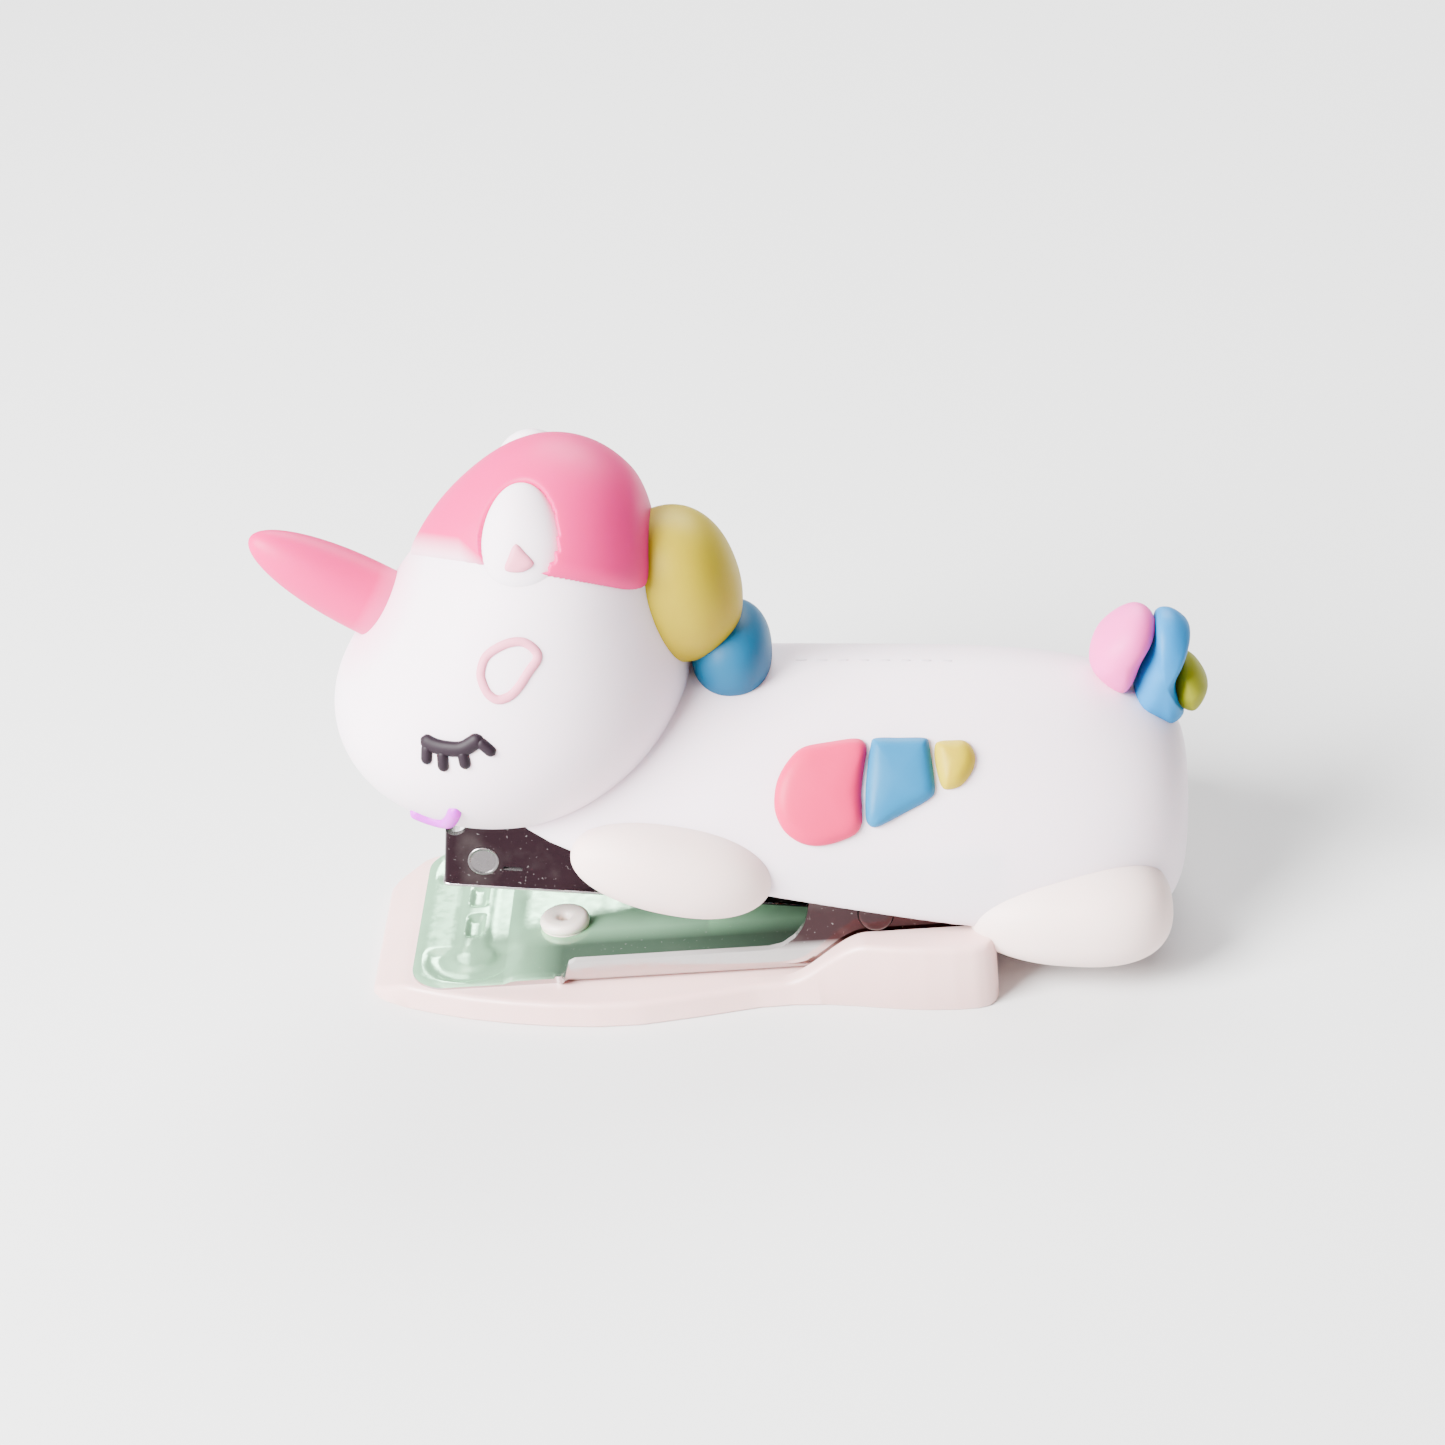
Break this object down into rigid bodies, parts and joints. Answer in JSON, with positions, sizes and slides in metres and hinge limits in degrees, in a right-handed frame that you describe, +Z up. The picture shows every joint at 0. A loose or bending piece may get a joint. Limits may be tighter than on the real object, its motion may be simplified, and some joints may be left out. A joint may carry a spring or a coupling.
{
  "type": "stapler",
  "caption": "Mini stapler with a soft unicorn cover: hinged magazine and handle over a chromed anvil plate on a plastic foot.",
  "frame": {"origin": "middle of the overall length and width, on the table", "axes": "+X to the tail, -X to the horn, +Y to the unicorn's right flank, +Z up"},
  "size_m": [0.095, 0.0404, 0.0572],
  "materials": {
    "pvc_white": "soft matte PVC",
    "pvc_warm_white": "soft matte PVC",
    "pvc_pale_pink": "soft matte PVC",
    "pvc_plum": "soft matte PVC",
    "pvc_violet": "soft matte PVC",
    "pvc_pink": "soft matte PVC",
    "pvc_light_pink": "soft matte PVC",
    "pvc_blue": "soft matte PVC",
    "pvc_yellow": "soft matte PVC",
    "foot_plastic": "semi-gloss",
    "stud_plastic": "semi-gloss",
    "chromed_steel": "bright plated",
    "dark_chrome": "bright plated",
    "spring_steel": "plain",
    "plain_steel": "plain"
  },
  "bodies": {
    "base": {"base_foot": "foot_plastic", "anvil_plate": "chromed_steel", "plate_stud": "stud_plastic", "hinge_pin": "chromed_steel", "hinge_sleeve_left": "plain_steel", "hinge_sleeve_right": "plain_steel", "lift_spring": "spring_steel"},
    "magazine": {"magazine": "dark_chrome", "pusher_rod": "plain_steel", "pusher_spring": "spring_steel"},
    "pusher": {"staple_pusher": "plain_steel"},
    "handle": {"body_shell": "pvc_white", "cheek_mark_left": "pvc_pale_pink", "cheek_mark_right": "pvc_pale_pink", "driver_blade": "plain_steel", "ear_inner_left": "pvc_pale_pink", "ear_inner_right": "pvc_pale_pink", "ear_left": "pvc_white", "ear_right": "pvc_white", "eyelash_left": "pvc_plum", "eyelash_right": "pvc_plum", "front_leg_left": "pvc_warm_white", "front_leg_right": "pvc_warm_white", "handle_frame": "dark_chrome", "handle_spring": "spring_steel", "head": "pvc_white", "hind_leg_left": "pvc_warm_white", "hind_leg_right": "pvc_warm_white", "horn": "pvc_pink", "mane_blue": "pvc_blue", "mane_pink": "pvc_pink", "mane_yellow": "pvc_yellow", "mouth_left": "pvc_violet", "mouth_right": "pvc_violet", "tail_blue": "pvc_blue", "tail_pink": "pvc_light_pink", "tail_yellow": "pvc_yellow", "wing_blue_left": "pvc_blue", "wing_blue_right": "pvc_blue", "wing_pink_left": "pvc_pink", "wing_pink_right": "pvc_pink", "wing_yellow_left": "pvc_yellow", "wing_yellow_right": "pvc_yellow"}
  },
  "joints": [
    {"name": "magazine_hinge", "type": "hinge", "parent": "base", "child": "magazine", "pos_m": [0.01266, 0, 0.0092], "axis": [0, 1, 0], "range_deg": [-10, 0], "stiffness_Nm_per_rad": 0.25, "springref_deg": 11.46, "deforming": ["lift_spring"]},
    {"name": "handle_hinge", "type": "hinge", "parent": "magazine", "child": "handle", "pos_m": [0.01266, 0, 0.0092], "axis": [0, 1, 0], "range_deg": [-8.6, 0], "stiffness_Nm_per_rad": 0.6, "springref_deg": 11.46, "deforming": ["handle_spring"]},
    {"name": "pusher_slide", "type": "slide", "parent": "magazine", "child": "pusher", "axis": [0.9895, 0, -0.1444], "range_m": [0, 0.019], "stiffness_N_per_m": 60, "springref_m": -0.02, "deforming": ["pusher_spring"]}
  ]
}
